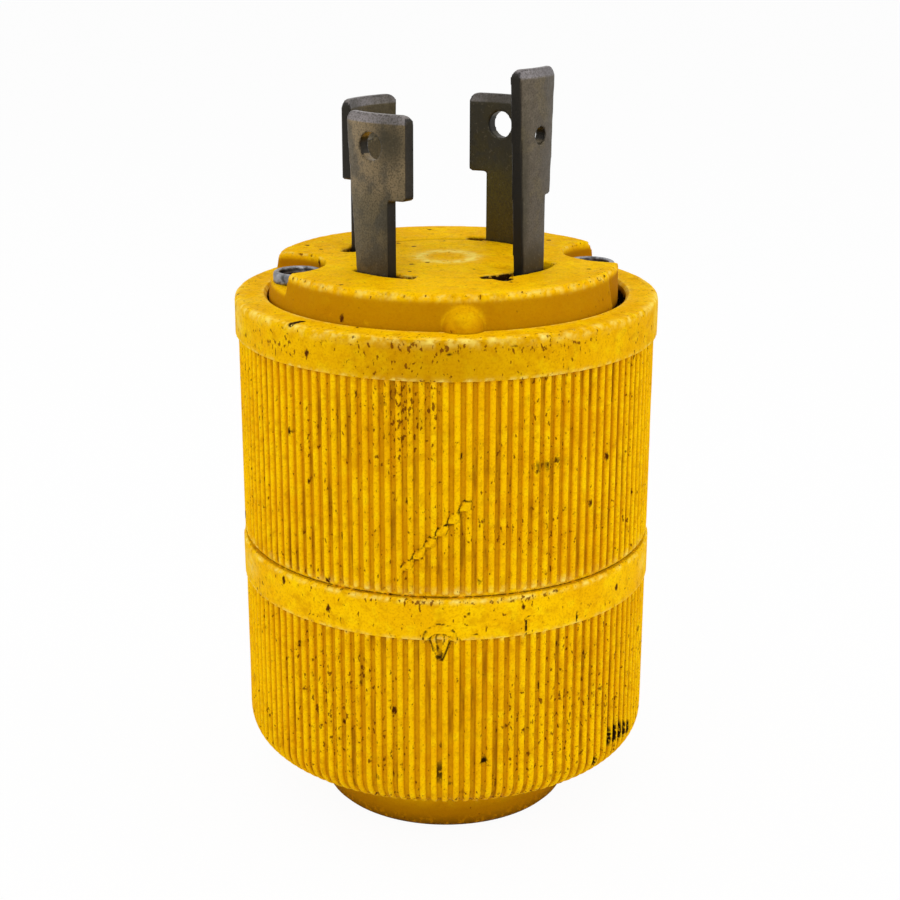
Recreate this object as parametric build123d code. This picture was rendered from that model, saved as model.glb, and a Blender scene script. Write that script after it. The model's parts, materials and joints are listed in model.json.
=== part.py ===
from build123d import *
from math import acos, asin, cos, degrees, pi, radians, sin
import os

# A four-blade locking power plug, standing on its cord neck with the blades up.
# Millimetres and degrees. Z is the plug's axis and the neck's end face is at z = 0.

# Rear shell: cord neck, rounded bottom, ribbed side and the plain band under the seam
REAR_H = 38.5            # neck end to the seam
NECK_WALL = 2.9          # round the grommet's pocket
NECK_H = 6.5             # neck end to the rounded bottom
NECK_CHAMFER = 0.5
NECK_STEP = 0.4          # flat ring between the neck and the rounded bottom
DOME_R = 16.6            # large arc of the rounded bottom
CORNER_R = 4.0           # small arc that turns up into the side
SEAM_BAND_H = 5.6
SEAM_CHAMFER = 0.35
REAR_WALL = 4.1          # bore to the crests of the ribs
REAR_FLOOR = 3.7         # thickness of the bottom over the neck
FLOOR_FILLET = 4.0
SPIGOT_WALL = 1.6        # spigot that enters the front shell
SPIGOT_H = 4.0
SPIGOT_GAP = 0.1
LIP_T = 2.0              # lip under the cord grommet
LIP_STEP = 1.6           # hole in the lip outside the cord hole
POST_WALL = 0.8          # screw posts, round their inserts
POST_WEB = 3.0
MARK_R = 2.2             # half-round alignment mark on the plain band
MARK_RISE = 0.2
MARK_ANGLE = -91.3

# Front shell: ribbed sleeve with a plain rim
FRONT_H = 33.7           # seam to the rim
RIM_BAND_H = 5.3
RIM_ROUND = 0.7
RIM_WALL = 4.3
RIM_CHAMFER = 0.4
SEAT_DEPTH = 6.2         # rim to the shoulder that carries the face
SEAT_W = 1.6

# Ribs, the same on both shells
RIB_R = 28.1
RIB_COUNT = 120
RIB_DEPTH = 0.5
GROOVE_W = 0.62
CORNER_STEPS = 3         # straight steps of the ribs round the small bottom arc
DOME_STEPS = 2           # steps on the large arc, the last one plain
BAND_STEP = 0.2          # the seam band stands this far outside the ribs
RIM_STEP = 0.4           # and the rim this far

# Face that the blades come through
FACE_RISE = 4.4          # above the rim
FACE_ROUND = 0.5
FLANGE_GAP = 0.3
FACE_LEAN = 0.8          # the raised face's side leans in this far
LEAN_DROP = 0.3          # start of the lean below the rim
RELIEF_START_ANGLE = -25.0    # stretch where the side is upright
RELIEF_END_ANGLE = 13.0
BOSS_R = 2.7
BOSS_RISE = 2.8          # top of the index boss above the rim
BOSS_ROOT = 1.7          # foot of the index boss below the rim
BOSS_ANGLE = -84.8
BOSS_GAP = 0.2

# Blades, strips of one sheet curved round the axis, all hooked the same way
BLADE_INSET = 13.3       # outer side of the sheet inside the crests of the ribs
SHEET_T = 1.6
BLADE_ANGLES = {"line_x": -130.8, "ground": -39.3, "line_y": 53.5, "neutral": 142.0}
SHANK_W = {"line_x": 5.6, "ground": 4.6, "line_y": 5.6, "neutral": 5.6}
HOOK_W = {"line_x": 2.4, "ground": 1.25, "line_y": 2.4, "neutral": 2.4}
HOOK_FLARE = {"line_x": 0.0, "ground": 1.05, "line_y": 0.0, "neutral": 0.0}    # hook, at the tip
BACK_FLARE = {"line_x": 2.0, "ground": 0.95, "line_y": 2.0, "neutral": 2.0}    # back edge, at the tip
TIP_H = {"line_x": 20.3, "ground": 25.7, "line_y": 20.3, "neutral": 20.3}    # above the face
HOLE_R = {"line_x": 1.8, "ground": 1.1, "line_y": 1.8, "neutral": 1.8}
HOLE_SHIFT = {"line_x": 0.0, "ground": 0.85, "line_y": 0.6, "neutral": 0.0}
HOOK_RISE = 9.6          # underside of the hooks above the face
HOLE_DROP = {"line_x": 4.1, "ground": 8.4, "line_y": 4.1, "neutral": 4.1}    # below the tip
TIP_BEVEL_H = 1.1
TIP_BEVEL_W = 0.45
TIP_CORNER = 0.9
HOOK_CORNER = 0.5
TAIL_W = 7.4             # lower end of a blade, at its terminal
TAIL_LIFT = 2.0          # lower end above the base's underside
FOOT_W = 4.6             # foot of the ground blade, beside its shank in the slot
FOOT_DROP = 0.9          # foot below the face
FOOT_LEG = 2.3           # outward leg of the foot
SLOT_GAP = 0.2
SLOT_END_GAP = 0.5
SLOT_EXTRA = 1.0         # empty slot past the ground blade's hook

# Terminal base under the face, with a wire pocket to each blade
BASE_GAP = 0.3
ROOF_T = 4.0             # base above the pockets
POCKET_W = 11.0
POCKET_GAP = 0.3         # inner side of a blade to the pocket's wall
CLAMP_W = 9.0
CLAMP_H = 9.5
CLAMP_T = 1.8
TERMINAL_R = 1.7
TERMINAL_TIP = 2.5       # terminal screw past the blade's inner side
TERMINAL_TIP_GAP = 0.5
TERMINAL_HEAD_R = 3.2
TERMINAL_HEAD_H = 2.2

# Assembly screws, from the face down into inserts in the rear shell
SCREW_ANGLES = {"right": 10.0, "left": 190.0}
SCREW_INSET = 3.2        # from the edge of the raised face
SCREW_R = 1.7
SCREW_HEAD_R = 3.4
SCREW_HEAD_H = 1.5
CUP_WALL = 0.8           # ring round the hollow top of the head
CUP_DEPTH = 1.0
NOTCH_R = 7.6            # hollow in the face's edge that takes each head
NOTCH_DEPTH = 2.7        # below the face
NOTCH_GAP = 0.2          # inner end of the hollow to the head
INSERT_WALL = 1.1
INSERT_LEN = 9.0
INSERT_SPARE = 1.0       # insert past the screw's tip

# Cord grommet and two-jaw cord clamp
CORD_HOLE_R = 9.4
GROMMET_WALL = 4.8
GROMMET_GAP = 0.1
JAW_WALL = 5.9
JAW_GROOVE_GAP = 0.3     # jaw groove outside the cord hole
JAW_H = 8.0
JAW_SPLIT = 3.0          # open gap between the jaws
JAW_SCREW_R = 1.6
POST_GAP = 0.2           # jaws to the screw posts
JAW_BEARING = 7.0        # screw head's seat, from the middle of the gap
JAW_SCREW_LEN = 13.5     # under the head
JAW_HEAD_R = 2.7
JAW_HEAD_H = 1.9

# All screws
HOLE_GAP = 0.2           # clearance hole outside its screw
THREAD_GAP = 0.03        # tapped hole outside its screw
SEAT_GAP = 0.02          # faces that bear on a curved side
DRIVE_W = 0.9
DRIVE_DEPTH = 1.0

OVERCUT = 1.0            # how far a cutter passes out of its piece

seam_z = REAR_H
rim_z = seam_z + FRONT_H
face_z = rim_z + FACE_RISE
seat_z = rim_z - SEAT_DEPTH
lean_z = rim_z - LEAN_DROP
notch_z = face_z - NOTCH_DEPTH
spigot_z = seam_z + SPIGOT_H
base_z = spigot_z
roof_z = seat_z - ROOF_T
terminal_z = (base_z + roof_z) / 2
floor_z = NECK_H + REAR_FLOOR
band_r = RIB_R + BAND_STEP
rim_r = RIB_R + RIM_STEP
rear_bore_r = RIB_R - REAR_WALL
spigot_r = rear_bore_r + SPIGOT_WALL
rim_bore_r = rim_r - RIM_WALL
sleeve_bore_r = rim_bore_r - SEAT_W
flange_r = rim_bore_r - FLANGE_GAP
face_r = flange_r - FACE_LEAN
screw_pitch_r = face_r - SCREW_INSET
notch_in_r = screw_pitch_r - SCREW_HEAD_R - NOTCH_GAP
base_r = sleeve_bore_r - BASE_GAP
blade_r = RIB_R - BLADE_INSET
blade_in_r = blade_r - SHEET_T
blade_mid_r = blade_r - SHEET_T / 2
pocket_r = blade_in_r - POCKET_GAP
clamp_r = blade_r + SEAT_GAP
insert_r = SCREW_R + INSERT_WALL
post_r = insert_r + POST_WALL
grommet_r = CORD_HOLE_R + GROMMET_WALL
grommet_pocket_r = grommet_r + GROMMET_GAP
neck_r = grommet_pocket_r + NECK_WALL
lip_r = CORD_HOLE_R + LIP_STEP
jaw_groove_r = CORD_HOLE_R + JAW_GROOVE_GAP
jaw_r = jaw_groove_r + JAW_WALL
jaw_screw_r = (jaw_groove_r + jaw_r) / 2
jaw_screw_z = floor_z + JAW_H / 2


def at_angle(radius, angle):
    return radius * cos(radians(angle)), radius * sin(radians(angle))


def outward(angle, radius=0.0, z=0.0):
    """Plane that faces outward at an angle, with x round the axis and y up."""
    x, y = at_angle(1, angle)
    return Plane(origin=(radius * x, radius * y, z), x_dir=(-y, x, 0), z_dir=(x, y, 0))


def ring(*edges):
    """Solid of revolution from edges drawn as (radius, height)."""
    return revolve(Plane.XZ * make_face(list(edges)), Axis.Z)


def rod(radius, z_low, z_high, x=0.0, y=0.0):
    return Pos(x, y, z_low) * extrude(Circle(radius), z_high - z_low)


def sector(r_in, r_out, z_low, z_high, start, end):
    """Part of a ring between two angles."""
    section = Polyline((r_in, z_low), (r_out, z_low), (r_out, z_high), (r_in, z_high), close=True)
    return Rot(0, 0, start) * revolve(Plane.XZ * make_face(section), Axis.Z, end - start)


def screw(shank_r, length, head_r, head_h):
    """Slotted pan-head screw with its head up, bearing at z = 0."""
    head = rod(head_r, 0, head_h)
    head = fillet(head.edges().sort_by(Axis.Z)[-1], head_h / 3)
    drive = Pos(0, 0, head_h) * Box(2 * head_r + OVERCUT, DRIVE_W, 2 * DRIVE_DEPTH)
    shank = rod(shank_r, -length, 0)
    shank = chamfer(shank.edges().sort_by(Axis.Z)[0], shank_r / 3)
    return head - drive + shank


def bottom_stations():
    """Points (radius, height) down the two tangent arcs of the rounded bottom."""
    reach = RIB_R - neck_r - NECK_STEP
    turn = acos((reach - CORNER_R) / (DOME_R - CORNER_R))
    dome_z = NECK_H + DOME_R
    corner_z = dome_z - (DOME_R - CORNER_R) * sin(turn)
    stations = []
    for step in range(CORNER_STEPS + 1):
        angle = turn * step / CORNER_STEPS
        stations.append((RIB_R - CORNER_R + CORNER_R * cos(angle), corner_z - CORNER_R * sin(angle)))
    for step in range(1, DOME_STEPS + 1):
        angle = turn + (pi / 2 - turn) * step / DOME_STEPS
        stations.append((RIB_R - reach + DOME_R * cos(angle), dome_z - DOME_R * sin(angle)))
    return stations


def ribbed_outline(radius, z):
    """Closed outline of all ribs at one height, V grooves between them, for a crest radius."""
    depth = RIB_DEPTH * radius / RIB_R
    half_groove = degrees(GROOVE_W / 2 / RIB_R)
    points = []
    for rib in range(RIB_COUNT):
        angle = 360 / RIB_COUNT * (rib + 0.5)
        points.append((*at_angle(radius, angle - half_groove), z))
        points.append((*at_angle(radius - depth, angle), z))
        points.append((*at_angle(radius, angle + half_groove), z))
    return Polyline(*points, close=True)


def screw_post(angle):
    """Post from the floor up to the terminal base, webbed to the wall."""
    x, y = at_angle(screw_pitch_r, angle)
    post = rod(post_r, floor_z - REAR_FLOOR / 2, base_z, x, y)
    web_w = rear_bore_r + SPIGOT_WALL / 2 - screw_pitch_r
    web = Box(web_w, POST_WEB, base_z - floor_z, align=(Align.MIN, Align.CENTER, Align.MIN))
    return post + Rot(0, 0, angle) * Pos(screw_pitch_r, 0, floor_z) * web


def insert_pocket(angle):
    x, y = at_angle(screw_pitch_r, angle)
    return rod(insert_r + SEAT_GAP, base_z - INSERT_LEN, base_z + OVERCUT, x, y)


def alignment_mark():
    """Half-round mark that stands out of the plain band, its flat side down."""
    disc = extrude(outward(MARK_ANGLE) * Circle(MARK_R), band_r + OVERCUT)
    upper = Pos(0, 0, MARK_R) * Box(4 * band_r, 4 * band_r, 2 * MARK_R)
    skin = rod(band_r + MARK_RISE, -MARK_R, MARK_R) - rod(band_r - MARK_RISE, -MARK_R, MARK_R)
    return Pos(0, 0, seam_z - SEAM_BAND_H + RIB_DEPTH) * (disc & upper & skin)


def rear_shell():
    band_z = seam_z - SEAM_BAND_H
    stations = bottom_stations()
    ribbed = [(RIB_R, band_z)] + stations[:-1]
    outlines = [ribbed_outline(radius, z).wires()[0] for radius, z in reversed(ribbed)]
    ribs = Solid.make_loft(outlines, ruled=True)
    band = ring(Polyline((rear_bore_r, band_z), (RIB_R - RIB_DEPTH, band_z),
                         (band_r, band_z + RIB_DEPTH), (band_r, seam_z - SEAM_CHAMFER),
                         (band_r - SEAM_CHAMFER, seam_z), (spigot_r, seam_z),
                         (spigot_r, spigot_z), (rear_bore_r, spigot_z), close=True))
    end_r, end_z = ribbed[-1]
    plain_r = end_r * (1 - RIB_DEPTH / RIB_R)
    neck = ring(Polyline((lip_r, 0), (neck_r - NECK_CHAMFER, 0), (neck_r, NECK_CHAMFER),
                         (neck_r, NECK_H), stations[-1], (plain_r, end_z), (grommet_pocket_r, end_z),
                         (grommet_pocket_r, LIP_T), (lip_r, LIP_T), close=True))
    floor_arc = CenterArc((rear_bore_r - FLOOR_FILLET, floor_z + FLOOR_FILLET), FLOOR_FILLET, -90, 90)
    top_z = band_z + OVERCUT
    cavity = ring(Polyline((0, 0), (grommet_pocket_r, 0), (grommet_pocket_r, floor_z), floor_arc @ 0),
                  floor_arc,
                  Polyline(floor_arc @ 1, (rear_bore_r, top_z), (0, top_z), (0, 0)))
    posts = [screw_post(angle) for angle in SCREW_ANGLES.values()]
    pockets = [insert_pocket(angle) for angle in SCREW_ANGLES.values()]
    return ribs - cavity + [band, neck, alignment_mark(), *posts] - pockets


def front_shell():
    band_z = rim_z - RIM_BAND_H
    chamfer_z = seam_z + SEAM_CHAMFER
    ribs = extrude(make_face(ribbed_outline(RIB_R, chamfer_z)), band_z - chamfer_z)
    foot_r = RIB_R - RIB_DEPTH
    socket_r = spigot_r + SPIGOT_GAP
    socket_z = spigot_z + SPIGOT_GAP
    round_arc = CenterArc((rim_r - RIM_ROUND, rim_z - RIM_ROUND), RIM_ROUND, 0, 90)
    rim = ring(Polyline((sleeve_bore_r, band_z), (foot_r, band_z), (rim_r, band_z + RIB_DEPTH),
                        round_arc @ 0),
               round_arc,
               Polyline(round_arc @ 1, (sleeve_bore_r, rim_z), (sleeve_bore_r, band_z)))
    foot = ring(Polyline((socket_r, seam_z), (foot_r, seam_z), (foot_r, chamfer_z),
                         (socket_r, chamfer_z), close=True))
    bore = rod(sleeve_bore_r, seam_z - OVERCUT, rim_z)
    socket = rod(socket_r, seam_z - OVERCUT, socket_z)
    seat = ring(Polyline((0, seat_z), (rim_bore_r, seat_z), (rim_bore_r, rim_z - RIM_CHAMFER),
                         (rim_bore_r + RIM_CHAMFER, rim_z), (0, rim_z), close=True))
    x, y = at_angle(face_r, BOSS_ANGLE)
    boss_notch = rod(BOSS_R + BOSS_GAP, rim_z - BOSS_ROOT - BOSS_GAP, rim_z + OVERCUT, x, y)
    return ribs - [bore, socket] + [rim, foot] - [seat, boss_notch]


def slot_ends(kind):
    """Start and end angle of a blade's slot, which is as long as the hooked head."""
    before = SHANK_W[kind] / 2 + SLOT_END_GAP
    after = SHANK_W[kind] / 2 + HOOK_W[kind] + HOOK_FLARE[kind] + SLOT_END_GAP
    if kind == "ground":
        before += FOOT_W
        after += SLOT_EXTRA
    start = BLADE_ANGLES[kind] - degrees(asin(before / blade_mid_r))
    return start, BLADE_ANGLES[kind] + degrees(asin(after / blade_mid_r))


def blade_slots(z_low, z_high):
    r_in = blade_in_r - SLOT_GAP
    r_out = blade_r + SLOT_GAP
    return [sector(r_in, r_out, z_low, z_high, *slot_ends(kind)) for kind in BLADE_ANGLES]


def foot_leg(gap, z_low, z_high):
    """Outward leg at the end of the ground blade's foot, or with a gap the space for it."""
    end = SHANK_W["ground"] / 2 + FOOT_W
    size = (SHEET_T + 2 * gap, z_high - z_low, SHEET_T / 2 + FOOT_LEG + gap)
    leg = Box(*size, align=(Align.CENTER, Align.MIN, Align.MIN))
    return outward(BLADE_ANGLES["ground"], blade_mid_r * cos(asin(end / blade_mid_r)), z_low) * (
        Pos(SHEET_T / 2 - end, 0, 0) * leg)


def blade_face():
    block = ring(Polyline((0, seat_z), (flange_r, seat_z), (flange_r, lean_z), (face_r, face_z),
                          (0, face_z), close=True))
    block = fillet(block.edges().sort_by(Axis.Z)[-1], FACE_ROUND)
    x, y = at_angle(face_r, BOSS_ANGLE)
    dome_z = rim_z + BOSS_RISE - BOSS_R
    dome = Sphere(BOSS_R, arc_size1=0, align=(Align.CENTER, Align.CENTER, Align.MIN))
    boss = rod(BOSS_R, rim_z - BOSS_ROOT, dome_z, x, y) + Pos(x, y, dome_z) * dome
    cutters = blade_slots(seat_z - OVERCUT, face_z + OVERCUT)
    cutters.append(sector(face_r, flange_r + OVERCUT, seat_z - OVERCUT, face_z + OVERCUT,
                          RELIEF_START_ANGLE, RELIEF_END_ANGLE))
    cutters.append(foot_leg(SLOT_GAP, seat_z - OVERCUT, face_z + OVERCUT))
    for angle in SCREW_ANGLES.values():
        x, y = at_angle(screw_pitch_r, angle)
        cutters.append(rod(SCREW_R + HOLE_GAP, seat_z - OVERCUT, face_z, x, y))
        x, y = at_angle(notch_in_r + NOTCH_R, angle)
        cutters.append(rod(NOTCH_R, notch_z, face_z + OVERCUT, x, y))
    return block - cutters + boss


def terminal_base():
    cutters = blade_slots(roof_z - OVERCUT, seat_z + OVERCUT)
    core = rod(pocket_r, base_z - OVERCUT, roof_z + OVERCUT)
    for angle in BLADE_ANGLES.values():
        pocket = Box(base_r + OVERCUT, POCKET_W, roof_z - base_z + OVERCUT,
                     align=(Align.MIN, Align.CENTER, Align.MIN))
        cutters.append(Rot(0, 0, angle) * Pos(0, 0, base_z - OVERCUT) * pocket - core)
        tip_r = blade_in_r - TERMINAL_TIP - TERMINAL_TIP_GAP
        tip_hole = outward(angle, tip_r, terminal_z) * Circle(TERMINAL_R + HOLE_GAP)
        cutters.append(extrude(tip_hole, blade_in_r - tip_r))
    for angle in SCREW_ANGLES.values():
        x, y = at_angle(screw_pitch_r, angle)
        cutters.append(rod(SCREW_R + HOLE_GAP, base_z - OVERCUT, seat_z + OVERCUT, x, y))
    return rod(base_r, base_z, seat_z) - cutters


def blade_outline(kind):
    """Flat outline of a blade, x round the axis from the shank's middle and y up."""
    half = SHANK_W[kind] / 2
    hook = half + HOOK_W[kind]
    tail_z = roof_z - SLOT_GAP
    hook_z = face_z + HOOK_RISE
    tip_z = face_z + TIP_H[kind]
    low = base_z + TAIL_LIFT
    points = [(-TAIL_W / 2, low), (TAIL_W / 2, low), (TAIL_W / 2, tail_z), (half, tail_z),
              (half, hook_z), (hook, hook_z), (hook + HOOK_FLARE[kind], tip_z),
              (-half - BACK_FLARE[kind], tip_z), (-half, face_z)]
    if kind == "ground":
        foot_z = face_z - FOOT_DROP
        points += [(-half, foot_z), (-half - FOOT_W, foot_z), (-half - FOOT_W, seat_z), (-half, seat_z)]
    points += [(-half, tail_z), (-TAIL_W / 2, tail_z)]
    outline = make_face(Polyline(*points, close=True))
    outline = fillet(outline.vertices().group_by(Axis.Y)[-1], TIP_CORNER)
    return fillet(outline.vertices().sort_by_distance((hook, hook_z))[0], HOOK_CORNER)


def blade(kind):
    tip_z = face_z + TIP_H[kind]
    bevel_z = tip_z - TIP_BEVEL_H
    low = base_z + TAIL_LIFT
    sheet = ring(Polyline((blade_in_r, low), (blade_r, low), (blade_r, bevel_z),
                          (blade_r - TIP_BEVEL_W, tip_z), (blade_in_r + TIP_BEVEL_W, tip_z),
                          (blade_in_r, bevel_z), close=True))
    side = outward(BLADE_ANGLES[kind])
    through = blade_r + OVERCUT
    strip = extrude(side * blade_outline(kind), through) & sheet
    if kind == "ground":
        strip += foot_leg(0, seat_z, face_z - FOOT_DROP)
    tip_hole = Pos(HOLE_SHIFT[kind], tip_z - HOLE_DROP[kind]) * Circle(HOLE_R[kind])
    terminal_hole = Pos(0, terminal_z) * Circle(TERMINAL_R + THREAD_GAP)
    return strip - [extrude(side * tip_hole, through), extrude(side * terminal_hole, through)]


def terminal_clamp(kind):
    plate = Box(CLAMP_W, CLAMP_H, CLAMP_T, align=(Align.CENTER, Align.CENTER, Align.MIN))
    hole = rod(TERMINAL_R + HOLE_GAP, -OVERCUT, CLAMP_T + OVERCUT)
    return outward(BLADE_ANGLES[kind], clamp_r, terminal_z) * (plate - hole)


def terminal_screw(kind):
    length = CLAMP_T + SEAT_GAP + SHEET_T + TERMINAL_TIP
    fastener = screw(TERMINAL_R, length, TERMINAL_HEAD_R, TERMINAL_HEAD_H)
    return outward(BLADE_ANGLES[kind], clamp_r + CLAMP_T, terminal_z) * fastener


def assembly_screw(angle):
    """Screw with a cupped head, slotted in the bottom of the cup."""
    x, y = at_angle(screw_pitch_r, angle)
    cup_z = SCREW_HEAD_H - CUP_DEPTH
    head = fillet(rod(SCREW_HEAD_R, 0, SCREW_HEAD_H).edges().sort_by(Axis.Z)[-1], CUP_WALL / 2)
    cup = rod(SCREW_HEAD_R - CUP_WALL, cup_z, SCREW_HEAD_H + OVERCUT)
    drive = Pos(0, 0, cup_z) * Box(2 * SCREW_R - DRIVE_W, DRIVE_W, 2 * DRIVE_DEPTH)
    shank = rod(SCREW_R, base_z - INSERT_LEN + INSERT_SPARE - notch_z, 0)
    shank = chamfer(shank.edges().sort_by(Axis.Z)[0], SCREW_R / 3)
    return Pos(x, y, notch_z) * Rot(0, 0, angle) * (head + shank - [cup, drive])


def threaded_insert(angle):
    x, y = at_angle(screw_pitch_r, angle)
    low = base_z - INSERT_LEN
    bore = rod(SCREW_R + THREAD_GAP, low - OVERCUT, base_z + OVERCUT, x, y)
    return rod(insert_r, low, base_z, x, y) - bore


def cord_grommet():
    return rod(grommet_r, LIP_T, floor_z) - rod(CORD_HOLE_R, LIP_T - OVERCUT, floor_z + OVERCUT)


def across_jaws(side, depth):
    """Plane across a jaw screw that faces its head, from the middle of the gap, on side 1 or -1."""
    x, y = at_angle(1, SCREW_ANGLES["right"])
    origin = (depth * x - side * jaw_screw_r * y, depth * y + side * jaw_screw_r * x, jaw_screw_z)
    return Plane(origin=origin, z_dir=(x, y, 0))


def cord_jaws():
    """Two half rings that grip the cord over the grommet, right one first, split across the posts' line."""
    top_z = floor_z + JAW_H
    rings = rod(jaw_r, floor_z, top_z) - rod(jaw_groove_r, floor_z - OVERCUT, top_z + OVERCUT)
    for angle in SCREW_ANGLES.values():
        x, y = at_angle(screw_pitch_r, angle)
        rings -= rod(post_r + POST_GAP, floor_z - OVERCUT, top_z + OVERCUT, x, y)
    half = Pos(JAW_SPLIT / 2, 0, floor_z) * Box(jaw_r, 2 * jaw_r, JAW_H,
                                                align=(Align.MIN, Align.CENTER, Align.MIN))
    right = rings & Rot(0, 0, SCREW_ANGLES["right"]) * half
    left = rings & Rot(0, 0, SCREW_ANGLES["left"]) * half
    tip = JAW_BEARING - JAW_SCREW_LEN
    for side in (1, -1):
        right -= extrude(across_jaws(side, 0) * Circle(JAW_SCREW_R + HOLE_GAP), jaw_r)
        right -= extrude(across_jaws(side, JAW_BEARING) * Circle(JAW_HEAD_R + HOLE_GAP), jaw_r)
        left -= extrude(across_jaws(side, tip) * Circle(JAW_SCREW_R + THREAD_GAP), -tip)
    return right, left


def jaw_screw(side):
    fastener = screw(JAW_SCREW_R, JAW_SCREW_LEN, JAW_HEAD_R, JAW_HEAD_H)
    return across_jaws(side, JAW_BEARING) * fastener


right_jaw, left_jaw = cord_jaws()
nodes = {
    "front_shell": front_shell(),
    "rear_shell": rear_shell(),
    "blade_face": blade_face(),
    "terminal_base": terminal_base(),
    "cord_grommet": cord_grommet(),
    "cord_jaw_right": right_jaw,
    "cord_jaw_left": left_jaw,
    "jaw_screw_rear": jaw_screw(1),
    "jaw_screw_front": jaw_screw(-1),
}
for kind in BLADE_ANGLES:
    nodes[f"blade_{kind}"] = blade(kind)
    nodes[f"terminal_clamp_{kind}"] = terminal_clamp(kind)
    nodes[f"terminal_screw_{kind}"] = terminal_screw(kind)
for side, angle in SCREW_ANGLES.items():
    nodes[f"assembly_screw_{side}"] = assembly_screw(angle)
    nodes[f"threaded_insert_{side}"] = threaded_insert(angle)

os.makedirs("parts", exist_ok=True)
for name, node in nodes.items():
    export_step(node, f"parts/{name}.step")
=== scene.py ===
import json
import math

import bmesh
import bpy
import numpy as np
from mathutils import Matrix, Vector, noise


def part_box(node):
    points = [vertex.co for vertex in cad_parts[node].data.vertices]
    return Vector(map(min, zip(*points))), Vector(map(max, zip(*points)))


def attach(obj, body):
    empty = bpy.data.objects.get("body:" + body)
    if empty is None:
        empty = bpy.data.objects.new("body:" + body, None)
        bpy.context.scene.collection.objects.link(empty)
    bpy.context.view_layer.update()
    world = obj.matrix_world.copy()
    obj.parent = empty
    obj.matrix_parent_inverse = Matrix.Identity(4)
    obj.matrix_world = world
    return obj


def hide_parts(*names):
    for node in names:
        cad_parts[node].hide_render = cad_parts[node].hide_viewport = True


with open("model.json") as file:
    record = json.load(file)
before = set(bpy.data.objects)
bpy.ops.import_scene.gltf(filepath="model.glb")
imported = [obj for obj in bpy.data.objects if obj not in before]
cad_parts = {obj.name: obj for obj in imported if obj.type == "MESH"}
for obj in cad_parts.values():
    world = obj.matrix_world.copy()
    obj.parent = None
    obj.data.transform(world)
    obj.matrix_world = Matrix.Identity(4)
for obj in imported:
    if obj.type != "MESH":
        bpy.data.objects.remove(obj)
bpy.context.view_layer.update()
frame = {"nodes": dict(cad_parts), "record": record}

# The looks of a worn yellow locking plug. Sizes are in millimetres unless a name says otherwise,
# and angles in degrees round the plug's axis, from +X. The camera looks along +Y.
MM = 0.001
nodes = frame["nodes"]
front_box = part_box("front_shell")
rear_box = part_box("rear_shell")
face_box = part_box("blade_face")
grommet_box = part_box("cord_grommet")

# Ribs: rounded crests with narrow flat grooves between them
RIB_R = 28.1
RIB_COUNT = 120
RIB_DEPTH = 0.55
RIB_CREST = 0.31         # half width of a crest, as a share of the pitch
RIB_SQUARE = 2.2         # exponent of the crest's outline, 2 is an ellipse
RIB_SAMPLES = (-90, -60, -34, -11, 11, 34, 60, 90)    # degrees along a crest's outline
RIB_END = 0.7            # rounding of the ribs' ends over the seam
RIB_END_TURNS = (12, 30, 50, 70, 90)
RIB_STEP = 360 / RIB_COUNT

# Front shell
RIM_BAND_H = 5.3
RIM_ROUND = 0.7
RIM_ROUND_STEPS = 6
RIM_BORE_R = 24.2
RIM_CHAMFER = 0.4
SEAT_R = 22.6
SOCKET_R = 25.7
SOCKET_GAP = 0.1
SEAM_GAP = 0.35
BAND_EDGE = 0.12
FRONT_SKIN_R = 26.0      # the outside lies beyond this radius
BOSS_ANGLE = -84.8
BOSS_PITCH_R = 23.1
BOSS_R = 2.7
BOSS_NOTCH_R = 2.9
BOSS_NOTCH_DEPTH = 1.9

# Rear shell
SEAM_BAND_H = 5.6
SPIGOT_R = 25.6
BORE_R = 24.0
REAR_SKIN_R = 25.8       # the outside lies beyond this radius
NECK_WALL = 1.0          # the neck's outside is at least so far from the grommet
FLOOR_FILLET = 4.0
FLOOR_FILLET_STEPS = 5
NECK_R = 17.2
NECK_H = 6.5
NECK_CHAMFER = 0.5
NECK_STEP = 0.4
DOME_R = 16.6
DOME_STEPS = 9
CORNER_R = 4.0
CORNER_STEPS = 8
LIP_R = 11.0
GROMMET_GAP = 0.1
RIB_LOW_R = 21.6         # inner end of the ribs on the rounded bottom
POST_ANGLES = (10.0, 190.0)
POST_PITCH_R = 19.9
POST_R = 3.6
POST_WEB = 3.0
POST_SINK = 1.8          # foot of a post inside the floor
POST_SIDES = 48
INSERT_R = 2.82
MARK_ANGLE = -91.3
MARK_R = 2.1
MARK_RISE = 0.2
MARK_EDGE = 0.15

# Distance between rows of a skin: plain ribs, chips, drop and seam band, rim band, rim top and neck
RIB_ROW = 0.8
CHIP_ROW = 0.28
DROP_ROW = 0.25
RIM_BAND_ROW = 0.36
RIM_TOP_ROW = 0.5
NECK_ROW = 1.0

# Heights and radii that the frame gives
seam_z = front_box[0].z / MM
rim_z = front_box[1].z / MM
rim_r = front_box[1].x / MM
spigot_z = rear_box[1].z / MM
band_r = rear_box[1].x / MM
face_z = face_box[1].z / MM
seat_z = face_box[0].z / MM
floor_z = grommet_box[1].z / MM
lip_z = grommet_box[0].z / MM
grommet_r = grommet_box[1].x / MM
insert_low_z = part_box("threaded_insert_right")[0].z / MM
rim_band_z = rim_z - RIM_BAND_H
seam_band_z = seam_z - SEAM_BAND_H
boss_x = BOSS_PITCH_R * math.cos(math.radians(BOSS_ANGLE))
boss_y = BOSS_PITCH_R * math.sin(math.radians(BOSS_ANGLE))

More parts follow.
